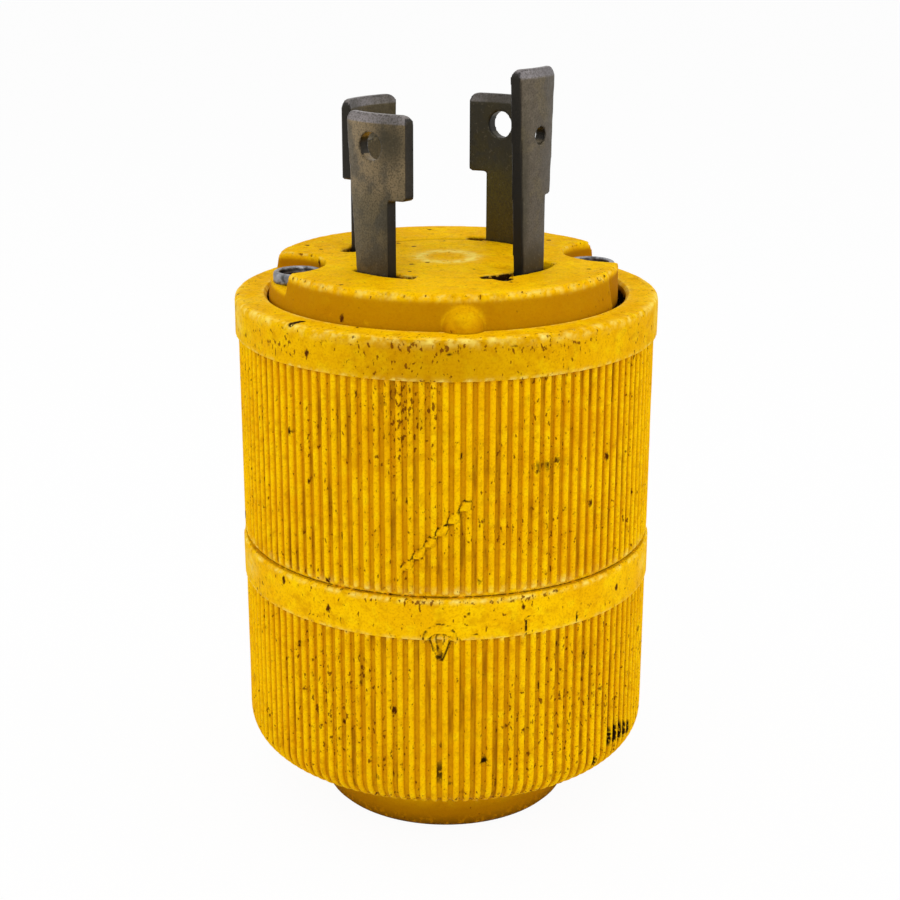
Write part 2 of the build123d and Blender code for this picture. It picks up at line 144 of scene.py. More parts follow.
# Wear of the shells: coarse and fine size of ragged edges, depths of wear on crests and edges
SHELL_RAGGED = (1.1, 0.45)
FINE_SHARE = 0.6
CREST_WEAR = 0.05
CREST_WEAR_SIZE = 5.0
EDGE_WEAR = 0.1
EDGE_NARROW = 0.3
EDGE_WIDE = 0.6
RIM_WEAR_IN = 0.2        # middle of the rim's worn edge, in from its corner
RIB_END_WEAR = 0.5
RIB_END_WEAR_Z = 0.3     # over the ribs' lower ends
# width of the worn edge at the seam, whose pale line is also a painted highlight
SEAM_EDGE_WEAR_AND_HIGHLIGHT = 0.22
EDGE_LEAST = 0.3         # wear of an edge where the ragged noise is nil
# Row of squashed chips that climbs across the ribs at 45 degrees
CHIP_COUNT = 6
CHIP_ANGLE = -99.9       # first chip
CHIP_Z = 42.7
CHIP_CLIMB = 1.6         # from one chip to the next
CHIP_LENGTH = 0.85       # half length and half width
CHIP_WIDTH = 0.5
CHIP_RISE = 0.1
CHIP_SAG = 0.3
CHIP_EDGE = (1.15, 0.85)     # outer and inner end of a chip's soft edge, as shares of its half size
NICK_DEPTH = 0.3         # depth of the cut round each chip
NICK_AT = 1.2            # its place and width, as shares of the chip's half size
NICK_W = 0.22
# painted shadow in the cut round each chip
NICK_SHADOW = 0.9
NICK_UPPER = 0.75        # strength of the painted shadow over a chip and under it
NICK_LOWER = 0.5
# Scraped drop under the alignment mark
DROP_TOP = 33.9
DROP_WIDE = 33.0         # height of its widest place
DROP_TIP = 29.7
DROP_W = 1.35
DROP_DEPTH = 0.4
DROP_EDGE = 0.25
DROP_TAPER = 0.8
DROP_LINE_W = 0.2
DROP_STREAK_AT = 0.4     # inner streaks, as a share of the half width
DROP_STREAK_W = 0.16
DROP_STREAK_DIRT = 0.9
DROP_SWING = 0.5         # unevenness of its floor, as a share of its depth
DROP_LINE_TOP = 0.1      # the dark outline ends so far over the drop

# Dirt and painted shade of the shells: strengths, and widths of the soft edges
# painted shade along the seam gap between the shells
SEAM_SHADE_FRONT = 0.5
SEAM_SHADE_REAR = 0.35
SEAM_SHADE_W = 0.12
GROOVE_END_SHADE = 0.4        # painted shade in the ends of the grooves under the bands
GROOVE_END_SHADE_H = 0.5
BORE_DEEP_SHADE = 0.95         # painted shade between the rim and the face, from a depth down
BORE_DEEP_SHADE_DEPTH = 1.0
BORE_SHADE = 0.5
MARK_LINE_DIRT = 0.75
MARK_LINE_W = 0.16
MARK_LINE_OUT = 0.05     # the line lies so far outside the mark
MARK_LINE_LEVEL = 0.9
DROP_DIRT = 0.65
# painted shade, darker towards the foot of the neck
FOOT_SHADE = 0.5
NECK_SHADE = 0.95
NECK_SHADE_H = 4.0
INNER_SHADE = 0.6
RIM_STAIN = 0.12         # all round the rim band, and more in front
RIM_STAIN_FRONT = 0.5
RIM_STAIN_ANGLE = -92.0
RIM_STAIN_TURN = 26.0
SOIL_SIZE = 8.0
SOIL_SWING = 0.3
FRONT_SOIL_LEVEL = 0.33
REAR_SOIL_LEVEL = 0.35
# Dirt spots on the outside: angle, height, half width, half height and strength
FRONT_SPOTS = ((-135.0, 58.2, 0.5, 0.5, 1.0), (-81.1, 40.8, 0.4, 0.4, 1.0),
               (-95.2, 61.4, 2.0, 3.5, 0.25), (-66.0, 55.2, 0.6, 1.1, 0.5),
               (-63.0, 55.4, 0.6, 1.1, 0.5), (-60.0, 55.6, 0.6, 1.1, 0.5),
               (-72.9, 71.2, 0.8, 0.25, 0.5), (-89.0, 70.4, 0.5, 0.3, 0.6),
               (-133.1, 72.2, 0.5, 0.4, 1.0))
REAR_SPOTS = ((-37.5, 13.6, 0.62, 1.6, 1.0), (-34.5, 13.5, 0.62, 2.0, 1.0),
              (-31.5, 13.3, 0.62, 1.8, 1.0), (-28.5, 13.0, 0.62, 1.7, 1.0),
              (-25.5, 12.6, 0.62, 1.3, 1.0), (-43.5, 11.0, 0.6, 0.8, 0.9),
              (-79.6, 15.6, 0.55, 0.6, 1.0), (-91.5, 14.0, 0.4, 2.4, 0.8),
              (-88.5, 12.5, 0.4, 0.4, 0.9), (-68.6, 34.0, 0.16, 1.7, 0.8),
              (-67.7, 35.5, 0.4, 0.14, 0.8), (-53.0, 33.9, 0.14, 0.9, 0.8),
              (-84.0, 36.6, 0.3, 0.3, 0.6), (-82.0, 33.7, 0.6, 0.14, 0.7),
              (-112.5, 22.0, 0.3, 3.0, 0.5))
# Places with many specks: the same numbers
FRONT_SOIL = ((-99.0, 64.0, 5.0, 9.0, 0.4), (-90.0, 71.2, 14.0, 0.6, 0.6),
              (-105.0, 68.5, 6.0, 1.4, 0.4), (-135.0, 69.5, 6.0, 2.0, 0.4),
              (-62.0, 55.5, 3.0, 1.5, 0.4), (-60.0, 70.7, 8.0, 0.6, 0.5),
              (-75.0, 45.0, 9.0, 6.0, 0.2))
REAR_SOIL = ((-92.0, 38.0, 5.0, 0.5, 1.0), (-70.0, 38.0, 5.0, 0.4, 0.8),
             (-120.0, 24.0, 9.0, 12.0, 0.3), (-60.0, 20.0, 10.0, 10.0, 0.25),
             (-90.0, 8.5, 20.0, 1.5, 0.6))
# Pale ends of the plain bands, at both sides, rubbed and with painted sheen: the same numbers
FRONT_RUBBED_AND_SHEEN = ((-163.0, 70.0, 2.2, 2.0, 0.5), (-14.0, 70.0, 1.6, 1.8, 0.3))
REAR_RUBBED_AND_SHEEN = ((-160.0, 36.0, 3.0, 1.6, 0.4), (-18.0, 36.0, 2.0, 1.4, 0.3))

# Face: voxel of its even mesh, the top layer that wears, and the size of its ragged edges
FACE_VOXEL = 0.28
TOP_LAYER = (1.2, 0.6)   # depths between which the wear fades in
FACE_RAGGED = (1.0, 0.4)
FACE_EDGE_WEAR = 0.1
FACE_EDGE_SWING = 0.3
FACE_EDGE_MOST = 0.4
FACE_EDGE_PALE = 0.2
ROUGH_SIZE = 2.4
ROUGH_DEPTH = 0.03
FACE_SOIL = 0.2
FACE_SOIL_EDGE = 0.5
FACE_SOIL_SWING = 0.25
FACE_SOIL_SIZE = 6.0
# Dent beside the ground blade, worn ring in the middle and the arc line behind it
DENT_AT = (7.2, -6.5)
DENT_ANGLE = -42.2
DENT_LENGTH = 1.7
DENT_WIDTH = 0.7
DENT_DEPTH = 0.7
DENT_SHADE = 0.7
RING_R = 3.7
RING_W = 0.95
RING_PALE = 0.85
RING_SWING = 0.5
ARC_R = 12.5
ARC_START = 66.0
ARC_END = 128.0
ARC_W = 0.3
ARC_DEPTH = 0.12
ARC_SHADE = 0.6
# Slots, notches and the boss
SLOT_R = 18.0            # the blade slots lie inside this
SLOT_DEPTHS = (0.08, 0.38)   # depths between which a slot darkens with painted shade
SLOT_BLACK_TURN = 40.0   # painted shade: the ground blade's slot is black to this turn, and the others are brown
SLOT_BROWN = 0.55
NOTCH_TURN = 25.0        # half width of a screw's notch
TRACE = 0.05             # a dent or line of a lower share counts as none
BOSS_SHADE = 0.8         # at most, less where the boss faces out and up
BOSS_SHADE_LEVEL = 1.4
BOSS_LIT_OUT = 0.6
BOSS_LIT_UP = 0.85
BOSS_MARGIN = 0.1
BOSS_OUT = 0.6           # the boss counts from so far outside its pitch circle
# painted shade low on the face's wall, in the gap under the rim
LOW_WALL_SHADE = 0.8
LOW_WALL_DEPTHS = (0.4, 1.4)     # below the rim

# Blades and screws
BLADE_VOXEL = 0.19
BLADE_ANGLES = {"blade_line_x": -130.8, "blade_ground": -39.3, "blade_line_y": 53.5,
                "blade_neutral": 142.0}
HOOK_Z = 86.2
TIP_DEPTHS = (1.4, 1.25)
BEVEL_UP = (0.12, 0.24)  # share of up in the normals between which the bevel shows
UPRIGHT_MOST = 0.6       # upright faces have less than this share of up in their normal
SIDE_FACING = (0.75, 0.5)    # how much the narrow sides face the axis
EDGE_FACING = 0.7
EDGE_FACING_W = 0.2
# painted shade along the edges of the blades' narrow sides
EDGE_DARK = 0.9
# Dark blots, mostly tarnish; the ground blade's blot at its foot is painted shade in its slot: distance
# round from the shank's middle, height, half width, half height and strength
BLADE_DARK = {"blade_line_x": ((3.2, 93.4, 2.4, 3.0, 0.85), (2.8, 80.0, 0.8, 8.0, 0.4)),
              "blade_ground": ((0.0, 77.3, 5.0, 3.0, 0.9), (-2.4, 86.0, 1.0, 12.0, 0.7)),
              "blade_line_y": ((0.0, 94.0, 7.0, 6.5, 0.8),),
              "blade_neutral": ((-3.0, 94.0, 3.5, 5.0, 0.6), (4.0, 92.0, 2.0, 6.0, 0.8))}
SCREW_VOXEL = 0.22
SCREW_CUP_R = 2.6
SCREW_CUP_DEPTH = 2.2
SCREW_CUP_EDGE = 0.1

# Edges sharper than these angles stay sharp in the shading
SHELL_SHARP = 35
FACE_SHARP = 60
BLADE_SHARP = 40
SCREW_SHARP = 50

# Camera of the photograph
CAMERA_MM = (0.55, -230.0, 122.84)
CAMERA_ROLL = 0.15
CAMERA_PITCH = 17.74
LENS_MM = 69.35
CLIP_M = (0.01, 20)

# Studio, in metres: place, size and radiance of each light
LIGHTS = {"front": ((-0.15, -0.55, 0.5), (0.6, 0.6), 1.6),
          "overhead": ((0, 0.1, 0.6), (0.5, 0.5), 0.7),
          "left": ((-0.5, 0.1, 0.2), (0.3, 0.5), 0.9),
          "right": ((0.5, -0.05, 0.2), (0.3, 0.5), 1.7)}
LIGHTS_AIM = (0, 0, 0.05)
FLOOR_SIZE = 6
FLOOR_ROUGH = 0.9
FLOOR_WHITE = 0.95       # share of plain white in the floor that the camera sees
WORLD_LIGHT = 0.65

# Linear colours
WHITE = (1, 1, 1, 1)
FLOOR_GREY = (0.9, 0.9, 0.9, 1)
YELLOW = (0.93, 0.54, 0.0003)
YELLOW_DEEP = (0.86, 0.45, 0.0003)
YELLOW_WORN = (0.95, 0.62, 0.002)
PALE = (0.93, 0.74, 0.15)
AMBER = (0.5, 0.2, 0.0003)
# painted shade on walls, the neck, the boss, slots and hollows, and the rim band's stain
AMBER_SHADE_AND_STAIN = (0.4, 0.165, 0.0003)
SOIL = (0.15, 0.034, 0.002)
SPECK = (0.085, 0.022, 0.002)
# dirt, and painted shade in gaps, slots, the chips' nicks and the screws' hollows
DIRT_AND_SHADE_TONE = (0.022, 0.008, 0.002)
BRASS_TIP = (0.24, 0.22, 0.23)
# faint light specks painted as glints
BRASS_GLINT = (0.3, 0.25, 0.17)
BRASS_DARK = (0.042, 0.035, 0.02)
# painted shade on the blades' narrow sides and along their edges
BRASS_SIDE_SHADE = (0.013, 0.012, 0.01)
BRASS_EDGE_SHADE = (0.006, 0.006, 0.006)
TAN = (0.22, 0.16, 0.085)
BROWN = (0.125, 0.096, 0.05)
OLIVE = (0.085, 0.068, 0.014)
GREY = (0.045, 0.045, 0.038)
DUSK = (0.095, 0.075, 0.052)
# Tones of each blade: above the hook, below it, and blotches
BLADE_TONES = {"blade_line_x": (TAN, BROWN, GREY), "blade_ground": (DUSK, DUSK, BROWN),
               "blade_line_y": (GREY, OLIVE, OLIVE), "blade_neutral": (BROWN, BROWN, OLIVE)}
# Light, middle and dark tone of the plain metals, and the tone of their bare edges
TERMINAL_TONES = ((0.6, 0.43, 0.17), (0.5, 0.34, 0.12), (0.28, 0.19, 0.08))
TERMINAL_BARE = (0.75, 0.6, 0.3)
ZINC_TONES = ((0.24, 0.24, 0.25), (0.15, 0.15, 0.16), (0.05, 0.05, 0.048))
ZINC_BARE = (0.6, 0.6, 0.62)
METAL_ROUGH = (0.3, 0.5)
PHENOLIC_TONES = ((0.02, 0.02, 0.021), (0.045, 0.043, 0.04))
PHENOLIC_ROUGH = (0.35, 0.6)
RUBBER_TONES = ((0.022, 0.022, 0.022), (0.04, 0.039, 0.037))
RUBBER_ROUGH = (0.7, 0.95)
PLASTIC_ROUGH = (0.5, 0.75)
PLASTIC_GLOSS = 0.01
BLADE_ROUGH = (0.34, 0.56)
BLADE_METALLIC = 0.85
NOISE_SPAN = (0.3, 0.7)  # most of a noise's values lie between these


def turn_between(angle, middle):
    """Signed turn from a middle angle, in degrees, for arrays."""
    return (angle - middle + 180) % 360 - 180


def bell(distance, width):
    """Smooth bump that falls from 1 to 0 over about a width."""
    return np.exp(-(distance / width) ** 2)


def ramp(value, start, end):
    """Straight step from 0 at a start to 1 at an end, which may lie below it."""
    return np.clip((value - start) / (end - start), 0, 1)


def ripple(points, size):
    """Smooth noise of about -1 to 1 at points in millimetres."""
    values = [noise.noise(Vector(point) / size) for point in points.reshape(-1, 3)]
    return np.array(values).reshape(points.shape[:-1])


def ragged(points, coarse, fine):
    """Noise of two sizes, for ragged wear."""
    return ripple(points, coarse) + FINE_SHARE * ripple(points, fine)


def at_points(turn, radius, height):
    x = radius * np.cos(np.radians(turn))
    y = radius * np.sin(np.radians(turn))
    return np.stack([x, y, height], axis=-1)


def rib_angles():
    """Angles of every column of a skin, and how deep each lies, 0 on a crest and 1 in a groove."""
    angles = []
    depths = []
    for rib in range(RIB_COUNT):
        for sample in RIB_SAMPLES:
            side = math.sin(math.radians(sample))
            across = math.copysign(abs(side) ** (2 / RIB_SQUARE), side)
            crest = abs(math.cos(math.radians(sample))) ** (2 / RIB_SQUARE)
            angles.append((rib + RIB_CREST * across) * RIB_STEP)
            depths.append(1 - crest)
    return np.array(angles), np.array(depths)


def arc(centre_r, centre_z, radius, start, end, steps):
    points = []
    for step in range(steps + 1):
        angle = math.radians(start + (end - start) * step / steps)
        points.append((centre_r + radius * math.cos(angle), centre_z + radius * math.sin(angle)))
    return points


def climb(low, high, step):
    """Even values from one end to the other, both in."""
    return np.linspace(low, high, max(2, int(round(abs(high - low) / step)) + 1))


def rib_ends():
    """Rounded ends of the ribs over the seam."""
    rows = []
    for turn in RIB_END_TURNS:
        share = math.sin(math.radians(turn))
        lift = RIB_END * (1 - math.cos(math.radians(turn)))
        rows.append((RIB_R - RIB_DEPTH + RIB_DEPTH * share, seam_z + SEAM_GAP + lift, share))
    return rows


def front_stations():
    """Section of the front shell as (radius, height, rib share), up the outside and down the inside."""
    foot_r = RIB_R - RIB_DEPTH
    rows = [(SOCKET_R, seam_z, 0), (foot_r - BAND_EDGE, seam_z, 0), (foot_r, seam_z + BAND_EDGE, 0)]
    rows += rib_ends()
    chip_low = CHIP_Z - CHIP_LENGTH
    chip_top = CHIP_Z + CHIP_COUNT * CHIP_CLIMB
    heights = [*climb(seam_z + SEAM_GAP + RIB_END, chip_low, RIB_ROW)[1:],
               *climb(chip_low, chip_top, CHIP_ROW)[1:], *climb(chip_top, rim_band_z, RIB_ROW)[1:]]
    rows += [(RIB_R, z, 1) for z in heights]
    rows += [(rim_r - BAND_EDGE, rim_band_z, 0), (rim_r, rim_band_z + BAND_EDGE, 0)]
    round_r = rim_r - RIM_ROUND
    round_z = rim_z - RIM_ROUND
    rows += [(rim_r, z, 0) for z in climb(rim_band_z + BAND_EDGE, round_z, RIM_BAND_ROW)[1:-1]]
    rows += [(r, z, 0) for r, z in arc(round_r, round_z, RIM_ROUND, 0, 90, RIM_ROUND_STEPS)]
    rows += [(r, rim_z, 0) for r in climb(round_r, RIM_BORE_R + RIM_CHAMFER, RIM_TOP_ROW)[1:]]
    notch_z = rim_z - BOSS_NOTCH_DEPTH
    rows += [(RIM_BORE_R, rim_z - RIM_CHAMFER, 0), (RIM_BORE_R, notch_z + BAND_EDGE, 0),
             (RIM_BORE_R, notch_z, 0), (RIM_BORE_R, seat_z, 0), (SEAT_R, seat_z, 0),
             (SEAT_R, spigot_z + SOCKET_GAP, 0), (SOCKET_R, spigot_z + SOCKET_GAP, 0)]
    return rows


def rear_bottom():
    """Rounded bottom of the rear shell, and the height where the straight ribs start on it."""
    reach = RIB_R - NECK_R - NECK_STEP
    turn = math.degrees(math.acos((reach - CORNER_R) / (DOME_R - CORNER_R)))
    dome_z = NECK_H + DOME_R
    corner_z = dome_z - (DOME_R - CORNER_R) * math.sin(math.radians(turn))
    outline = arc(RIB_R - reach, dome_z, DOME_R, -90, -turn, DOME_STEPS)
    outline += arc(RIB_R - CORNER_R, corner_z, CORNER_R, -turn, 0, CORNER_STEPS)[1:]
    rows = []
    for r, z in outline:
        if r < RIB_LOW_R:
            rows.append((r - RIB_DEPTH / 2, z, 0))
        else:
            rows.append((r, z, r / RIB_R))
    return rows, corner_z


def rear_stations():
    """Section of the rear shell, from the lip up the outside and down the inside."""
    bottom, corner_z = rear_bottom()
    pocket_r = grommet_r + GROMMET_GAP
    rows = [(LIP_R, 0, 0), (NECK_R - NECK_CHAMFER, 0, 0), (NECK_R, NECK_CHAMFER, 0)]
    rows += [(NECK_R, z, 0) for z in climb(NECK_CHAMFER, NECK_H, NECK_ROW)[1:]]
    rows += bottom
    heights = [*climb(corner_z, DROP_TIP, RIB_ROW)[1:], *climb(DROP_TIP, seam_band_z, DROP_ROW)[1:]]
    rows += [(RIB_R, z, 1) for z in heights]
    rows += [(band_r - BAND_EDGE, seam_band_z, 0), (band_r, seam_band_z + BAND_EDGE, 0)]
    rows += [(band_r, z, 0) for z in climb(seam_band_z + BAND_EDGE, seam_z - SEAM_GAP, DROP_ROW)[1:]]
    rows += [(band_r - SEAM_GAP, seam_z, 0), (SPIGOT_R, seam_z, 0), (SPIGOT_R, spigot_z, 0),
             (BORE_R, spigot_z, 0)]
    fillet = arc(BORE_R - FLOOR_FILLET, floor_z + FLOOR_FILLET, FLOOR_FILLET, 0, -90, FLOOR_FILLET_STEPS)
    rows += [(r, z, 0) for r, z in fillet]
    rows += [(pocket_r, floor_z, 0), (pocket_r, lip_z, 0), (LIP_R, lip_z, 0)]
    return rows


def skin(name, stations, carve):
    """Closed ribbed skin from its section. carve returns the worn radii, and marks of soiling, wear,
    painted shade and painted sheen.
    """
    angles, depths = rib_angles()
    radius = np.array([[r] for r, _, _ in stations]) * np.ones(len(angles))
    height = np.array([[z] for _, z, _ in stations]) * np.ones(len(angles))
    share = np.array([[s] for _, _, s in stations])
    groove = share * depths
    radius = radius - RIB_DEPTH * groove
    turn = np.ones((len(stations), 1)) * angles
    radius, marks = carve(turn, radius, height, groove)
    verts = at_points(turn, radius, height).reshape(-1, 3) * MM
    rows, columns = radius.shape
    low = np.arange(rows * columns).reshape(rows, columns)
    high = np.roll(low, -1, axis=0)
    faces = np.stack([low, np.roll(low, -1, axis=1), np.roll(high, -1, axis=1), high], axis=-1)
    mesh = bpy.data.meshes.new(name)
    mesh.from_pydata(verts.tolist(), [], faces.reshape(-1, 4).tolist())
    mark(mesh, **{"groove": groove, **marks})
    return place(name, mesh)


def mark(mesh, **marks):
    """Named value for each vertex, for the materials."""
    for name, values in marks.items():
        layer = mesh.attributes.new(name, "FLOAT", "POINT")
        layer.data.foreach_set("value", np.asarray(values, dtype=np.float32).ravel())


def place(name, mesh):
    obj = bpy.data.objects.new(name, mesh)
    bpy.context.scene.collection.objects.link(obj)
    return obj


def smooth(obj, angle):
    """Smooth shading with sharp edges over an angle in degrees."""
    obj.data.polygons.foreach_set("use_smooth", [True] * len(obj.data.polygons))
    obj.data.set_sharp_from_angle(angle=math.radians(angle))
    return obj


def apply_modifiers(obj):
    bpy.context.view_layer.update()
    ready = obj.evaluated_get(bpy.context.evaluated_depsgraph_get())
    mesh = bpy.data.meshes.new_from_object(ready)
    obj.modifiers.clear()
    obj.data = mesh
    return obj


def cut(obj, tool, operation):
    """Boolean of a closed piece with a closed tool, which is used up."""
    modifier = obj.modifiers.new(operation.lower(), "BOOLEAN")
    modifier.operation = operation
    modifier.object = tool
    modifier.solver = "MANIFOLD"
    apply_modifiers(obj)
    bpy.data.objects.remove(tool)
    return obj


def prism(outline, low, high):
    """Closed upright tool over an outline of (x, y) points."""
    count = len(outline)
    verts = [(x * MM, y * MM, z * MM) for z in (low, high) for x, y in outline]
    sides = [(i, (i + 1) % count, (i + 1) % count + count, i + count) for i in range(count)]
    mesh = bpy.data.meshes.new("tool")
    mesh.from_pydata(verts, [], [*sides, tuple(range(count))[::-1], tuple(range(count, 2 * count))])
    return place("tool", mesh)


def round_outline(radius, pitch_r, angle):
    x = pitch_r * math.cos(math.radians(angle))
    y = pitch_r * math.sin(math.radians(angle))
    turns = [2 * math.pi * step / POST_SIDES for step in range(POST_SIDES)]
    return [(x + radius * math.cos(turn), y + radius * math.sin(turn)) for turn in turns]


def web_outline(angle):
    """Plan of the web between a post and the wall."""
    far = BORE_R + (SPIGOT_R - BORE_R) / 2
    corners = [(POST_PITCH_R, -POST_WEB / 2), (far, -POST_WEB / 2), (far, POST_WEB / 2),
               (POST_PITCH_R, POST_WEB / 2)]
    c, s = math.cos(math.radians(angle)), math.sin(math.radians(angle))
    return [(c * x - s * y, s * x + c * y) for x, y in corners]


def notch_radius(turn, pitch_r, radius):
    """Far side of a round notch seen from the axis, for turns from its middle; zero where it isn't."""
    offset = pitch_r * np.sin(np.radians(turn))
    inside = (np.abs(turn) < 90) & (np.abs(offset) < radius)
    far = pitch_r * np.cos(np.radians(turn)) + np.sqrt(np.maximum(radius ** 2 - offset ** 2, 0))
    return np.where(inside, far, 0)


def blots(places, across, height):
    """Soft-edged blots, each given by its place across, height, half width, half height and strength."""
    total = np.zeros(height.shape)
    for middle, z, width, tall, strength in places:
        reach = np.hypot((across - middle) / width, (height - z) / tall)
        total = np.maximum(total, strength * np.exp(-reach ** 3))
    return total


def spots(places, turn, height):
    """Blots on the ribbed skin, with an angle in degrees as the place across."""
    total = np.zeros(height.shape)
    for angle, *rest in places:
        across = RIB_R * np.radians(turn_between(turn, angle))
        total = np.maximum(total, blots([(0, *rest)], across, height))
    return total


def worn_edges(radius, height, edges, chips):
    """How worn the skin is, 1 along edges given by (radius, height, width)."""
    total = np.zeros(radius.shape)
    for edge_r, edge_z, width in edges:
        total = np.maximum(total, bell(np.hypot(radius - edge_r, height - edge_z), width))
    return total * np.clip(EDGE_LEAST + chips, 0, 1)


def worn_depth(points, groove, worn):
    """Depth that wear takes off the crests and edges."""
    crest = CREST_WEAR * np.clip(ripple(points, CREST_WEAR_SIZE), 0, 1) * (1 - groove)
    return crest + EDGE_WEAR * worn


def squashed_chips(turn, radius, height):
    """Change of radius along the row of chips, the share that is squashed and the painted shadow round
    it.
    """
    change = np.zeros(radius.shape)
    squashed = np.zeros(radius.shape)
    dirt = np.zeros(radius.shape)
    for chip in range(CHIP_COUNT):
        sideways = RIB_R * np.radians(turn_between(turn, CHIP_ANGLE + chip * RIB_STEP))
        upward = height - CHIP_Z - chip * CHIP_CLIMB
        along = (upward + sideways) / math.sqrt(2)
        across = (upward - sideways) / math.sqrt(2)
        reach = np.hypot(along / CHIP_LENGTH, across / CHIP_WIDTH)
        pillow = RIB_R + CHIP_RISE - CHIP_SAG * reach ** 2
        inside = ramp(reach, *CHIP_EDGE)
        change += inside * (pillow - radius - change)
        squashed = np.maximum(squashed, inside)
        # Painted shadow in the nick round each chip, darker over it than under it
        nick = bell(reach - NICK_AT, NICK_W) * np.where(across > 0, NICK_UPPER, NICK_LOWER)
        dirt = np.maximum(dirt, NICK_SHADOW * nick)
    return change - NICK_DEPTH * dirt * (1 - squashed), squashed, dirt


def boss_notch(turn, radius, height, outside):
    """Radii of the bore with the round notch for the boss cut into it."""
    in_bore = ~outside & (height > rim_z - BOSS_NOTCH_DEPTH + BAND_EDGE / 2)
    notch_r = notch_radius(turn_between(turn, BOSS_ANGLE), BOSS_PITCH_R, BOSS_NOTCH_R)
    return np.where(in_bore, np.maximum(radius, notch_r), radius)


def carve_front(turn, radius, height, groove):
    """Worn radii of the front shell, and its marks."""
    points = at_points(turn, radius, height)
    outside = radius > FRONT_SKIN_R
    in_bore = radius < RIM_BORE_R + RIM_CHAMFER / 4
    edges = ((rim_r, rim_band_z, EDGE_NARROW), (RIM_BORE_R, rim_z, EDGE_WIDE),
             (rim_r - RIM_WEAR_IN, rim_z - RIM_WEAR_IN, EDGE_WIDE),
             (RIB_R, seam_z + SEAM_GAP + RIB_END_WEAR_Z, RIB_END_WEAR))
    worn = worn_edges(radius, height, edges, ragged(points, *SHELL_RAGGED))
    change, squashed, cuts = squashed_chips(turn, radius, height)
    change -= worn_depth(points, groove, worn)
    # Painted shade along the seam gap under the rib ends
    seam = SEAM_SHADE_FRONT * (height < seam_z + 1.5 * BAND_EDGE)
    # Painted shade in the groove ends under the rim band's overhang
    under_rim = GROOVE_END_SHADE * groove * bell(height - rim_band_z, GROOVE_END_SHADE_H)
    dirt = outside * np.maximum.reduce([spots(FRONT_SPOTS, turn, height), cuts, seam, under_rim])
    # Painted shade deep in the bore, between the rim and the face
    dirt = np.maximum(dirt, BORE_DEEP_SHADE * in_bore * (height < rim_z - BORE_DEEP_SHADE_DEPTH))
    soil = FRONT_SOIL_LEVEL + SOIL_SWING * ripple(points, SOIL_SIZE) + spots(FRONT_SOIL, turn, height)
    on_rim = outside & (height > rim_band_z + BAND_EDGE / 2) & (height < rim_z - BAND_EDGE)
    in_front = bell(turn_between(turn, RIM_STAIN_ANGLE), RIM_STAIN_TURN)
    stained = on_rim * (RIM_STAIN + RIM_STAIN_FRONT * in_front)
    radius = boss_notch(turn, radius + outside * change, height, outside)
    in_bore = radius < RIM_BORE_R + RIM_CHAMFER / 4
    marks = {"groove": groove * (1 - squashed), "dirt": dirt, "soil": outside * soil,
             # Pale for wear, and rubbing with painted sheen at the rim band's ends
             "pale": np.maximum(worn, spots(FRONT_RUBBED_AND_SHEEN, turn, height)),
             "shade": np.maximum(stained, BORE_SHADE * in_bore)}
    return radius, marks


def scraped_drop(sideways, height):
    """Share inside the scraped drop, which is round above and runs to a tip below, and its dark lines."""
    above = ramp(height, DROP_WIDE, DROP_TOP)
    below = ramp(height, DROP_TIP, DROP_WIDE)
    half = DROP_W * np.sqrt(1 - above ** 2) * below ** DROP_TAPER
    gap = half - np.abs(sideways)
    inside = ramp(gap, 0, DROP_EDGE) * (height < DROP_TOP) * (height > DROP_TIP)
    streaks = DROP_STREAK_DIRT * bell(np.abs(sideways) - DROP_STREAK_AT * half, DROP_STREAK_W)
    lines = np.maximum(bell(gap, DROP_LINE_W), streaks)
    return inside, lines * (height < DROP_TOP + DROP_LINE_TOP) * (height > DROP_TIP)


